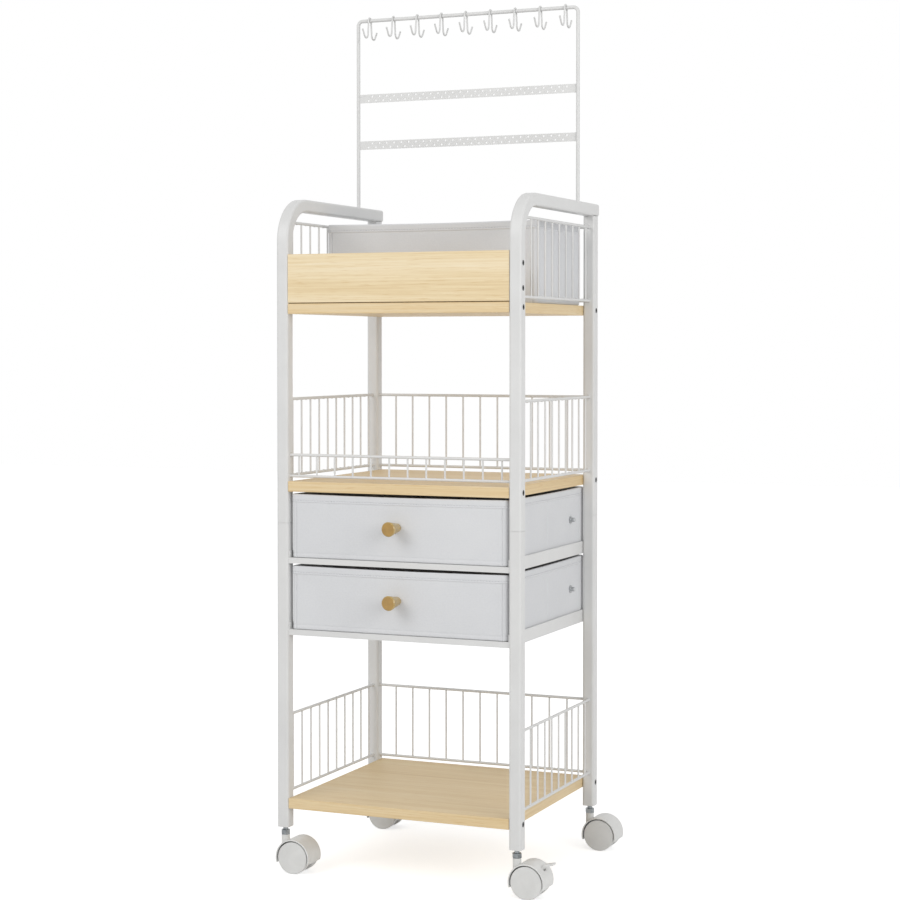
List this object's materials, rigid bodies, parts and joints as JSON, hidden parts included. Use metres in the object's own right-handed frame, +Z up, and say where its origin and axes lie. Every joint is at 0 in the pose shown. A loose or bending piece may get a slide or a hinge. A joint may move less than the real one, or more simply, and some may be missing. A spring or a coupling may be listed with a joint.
{
  "type": "rolling vanity cart with drawers",
  "caption": "Slim rolling vanity cart: bent tube frame, wood-look shelves with wire guards, sewn fabric drawers, a fabric bin, a jewellery rack with hooks, and casters.",
  "frame": {"origin": "on the floor under the middle of the four posts", "axes": "+X to the right seen from the drawers' side, +Y to the back, +Z up"},
  "size_m": [0.46, 0.3915, 1.3734],
  "materials": {
    "powder_coat": "satin white powder coat",
    "shelf_laminate": "oak-look laminate",
    "panel_laminate": "pale oak-look laminate",
    "drawer_fabric": "pale grey non-woven fabric",
    "base_board": "plain fibreboard",
    "knob_beech": "lacquered beech",
    "plug_plastic": "moulded white",
    "dark_screw": "black oxide",
    "zinc": "zinc plated",
    "caster_shell": "moulded grey",
    "caster_wheel": "moulded grey"
  },
  "bodies": {
    "frame": {"left_bent_front_tube": "powder_coat", "left_rear_upper_post": "powder_coat", "left_front_lower_post": "powder_coat", "left_rear_lower_post": "powder_coat", "right_bent_front_tube": "powder_coat", "right_rear_upper_post": "powder_coat", "right_front_lower_post": "powder_coat", "right_rear_lower_post": "powder_coat", "bottom_side_guards": "powder_coat", "middle_side_guards": "powder_coat", "top_side_guards": "powder_coat", "rear_guards": "powder_coat", "middle_front_guard": "powder_coat", "upper_drawer_runners": "powder_coat", "lower_drawer_runners": "powder_coat", "drawer_cross_rails": "powder_coat", "rack_frame": "powder_coat", "upper_earring_strip": "powder_coat", "lower_earring_strip": "powder_coat", "tube_connectors": "plug_plastic", "foot_plugs": "plug_plastic", "rail_end_caps": "plug_plastic", "bottom_shelf": "shelf_laminate", "middle_shelf": "shelf_laminate", "top_shelf": "shelf_laminate", "top_front_panel": "panel_laminate", "frame_screws": "dark_screw", "caster_stems": "zinc"},
    "upper_drawer": {"upper_drawer_box": "drawer_fabric", "upper_drawer_base_board": "base_board", "upper_drawer_knob": "knob_beech", "upper_drawer_knob_screw": "zinc", "upper_drawer_stop_studs": "zinc"},
    "lower_drawer": {"lower_drawer_box": "drawer_fabric", "lower_drawer_base_board": "base_board", "lower_drawer_knob": "knob_beech", "lower_drawer_knob_screw": "zinc", "lower_drawer_stop_studs": "zinc"},
    "top_bin": {"top_fabric_bin": "drawer_fabric"},
    "front_left_caster": {"front_left_caster_hood": "caster_shell"},
    "front_left_wheels": {"front_left_caster_wheels": "caster_wheel"},
    "rear_left_caster": {"rear_left_caster_hood": "caster_shell"},
    "rear_left_wheels": {"rear_left_caster_wheels": "caster_wheel"},
    "front_right_caster": {"front_right_caster_hood": "caster_shell"},
    "front_right_wheels": {"front_right_caster_wheels": "caster_wheel"},
    "rear_right_caster": {"rear_right_caster_hood": "caster_shell"},
    "rear_right_wheels": {"rear_right_caster_wheels": "caster_wheel"},
    "front_right_brake": {"front_right_brake_lever": "caster_shell"},
    "rear_left_brake": {"rear_left_brake_lever": "caster_shell"},
    "hook_1": {"necklace_hook_1": "powder_coat"},
    "hook_2": {"necklace_hook_2": "powder_coat"},
    "hook_3": {"necklace_hook_3": "powder_coat"},
    "hook_4": {"necklace_hook_4": "powder_coat"},
    "hook_5": {"necklace_hook_5": "powder_coat"},
    "hook_6": {"necklace_hook_6": "powder_coat"},
    "hook_7": {"necklace_hook_7": "powder_coat"},
    "hook_8": {"necklace_hook_8": "powder_coat"},
    "hook_9": {"necklace_hook_9": "powder_coat"}
  },
  "joints": [
    {"name": "upper_drawer_slide", "type": "slide", "parent": "frame", "child": "upper_drawer", "axis": [0, -1, 0], "range_m": [0, 0.255]},
    {"name": "lower_drawer_slide", "type": "slide", "parent": "frame", "child": "lower_drawer", "axis": [0, -1, 0], "range_m": [0, 0.255]},
    {"name": "bin_lift", "type": "slide", "parent": "frame", "child": "top_bin", "axis": [0, 0, 1], "range_m": [0, 0.13]},
    {"name": "front_left_swivel", "type": "hinge", "parent": "frame", "child": "front_left_caster", "pos_m": [-0.195, -0.165, 0.057], "axis": [0, 0, 1], "continuous": true},
    {"name": "front_left_wheel_spin", "type": "hinge", "parent": "front_left_caster", "child": "front_left_wheels", "pos_m": [-0.173, -0.165, 0.025], "axis": [0, 1, 0], "continuous": true},
    {"name": "rear_left_swivel", "type": "hinge", "parent": "frame", "child": "rear_left_caster", "pos_m": [-0.195, 0.165, 0.057], "axis": [0, 0, 1], "continuous": true},
    {"name": "rear_left_wheel_spin", "type": "hinge", "parent": "rear_left_caster", "child": "rear_left_wheels", "pos_m": [-0.173, 0.165, 0.025], "axis": [0, 1, 0], "continuous": true},
    {"name": "rear_left_brake_pivot", "type": "hinge", "parent": "rear_left_caster", "child": "rear_left_brake", "pos_m": [-0.15702, 0.165, 0.03939], "axis": [0, 1, 0], "range_deg": [0, 18]},
    {"name": "front_right_swivel", "type": "hinge", "parent": "frame", "child": "front_right_caster", "pos_m": [0.195, -0.165, 0.057], "axis": [0, 0, 1], "continuous": true},
    {"name": "front_right_wheel_spin", "type": "hinge", "parent": "front_right_caster", "child": "front_right_wheels", "pos_m": [0.217, -0.165, 0.025], "axis": [0, 1, 0], "continuous": true},
    {"name": "front_right_brake_pivot", "type": "hinge", "parent": "front_right_caster", "child": "front_right_brake", "pos_m": [0.23298, -0.165, 0.03939], "axis": [0, 1, 0], "range_deg": [0, 18]},
    {"name": "rear_right_swivel", "type": "hinge", "parent": "frame", "child": "rear_right_caster", "pos_m": [0.195, 0.165, 0.057], "axis": [0, 0, 1], "continuous": true},
    {"name": "rear_right_wheel_spin", "type": "hinge", "parent": "rear_right_caster", "child": "rear_right_wheels", "pos_m": [0.217, 0.165, 0.025], "axis": [0, 1, 0], "continuous": true},
    {"name": "hook_1_swing", "type": "hinge", "parent": "frame", "child": "hook_1", "pos_m": [-0.174, 0.102, 1.3673], "axis": [1, 0, 0], "range_deg": [-30, 30]},
    {"name": "hook_2_swing", "type": "hinge", "parent": "frame", "child": "hook_2", "pos_m": [-0.1305, 0.102, 1.3673], "axis": [1, 0, 0], "range_deg": [-30, 30]},
    {"name": "hook_3_swing", "type": "hinge", "parent": "frame", "child": "hook_3", "pos_m": [-0.087, 0.102, 1.3673], "axis": [1, 0, 0], "range_deg": [-30, 30]},
    {"name": "hook_4_swing", "type": "hinge", "parent": "frame", "child": "hook_4", "pos_m": [-0.0435, 0.102, 1.3673], "axis": [1, 0, 0], "range_deg": [-30, 30]},
    {"name": "hook_5_swing", "type": "hinge", "parent": "frame", "child": "hook_5", "pos_m": [0, 0.102, 1.3673], "axis": [1, 0, 0], "range_deg": [-30, 30]},
    {"name": "hook_6_swing", "type": "hinge", "parent": "frame", "child": "hook_6", "pos_m": [0.0435, 0.102, 1.3673], "axis": [1, 0, 0], "range_deg": [-30, 30]},
    {"name": "hook_7_swing", "type": "hinge", "parent": "frame", "child": "hook_7", "pos_m": [0.087, 0.102, 1.3673], "axis": [1, 0, 0], "range_deg": [-30, 30]},
    {"name": "hook_8_swing", "type": "hinge", "parent": "frame", "child": "hook_8", "pos_m": [0.1305, 0.102, 1.3673], "axis": [1, 0, 0], "range_deg": [-30, 30]},
    {"name": "hook_9_swing", "type": "hinge", "parent": "frame", "child": "hook_9", "pos_m": [0.174, 0.102, 1.3673], "axis": [1, 0, 0], "range_deg": [-30, 30]}
  ]
}
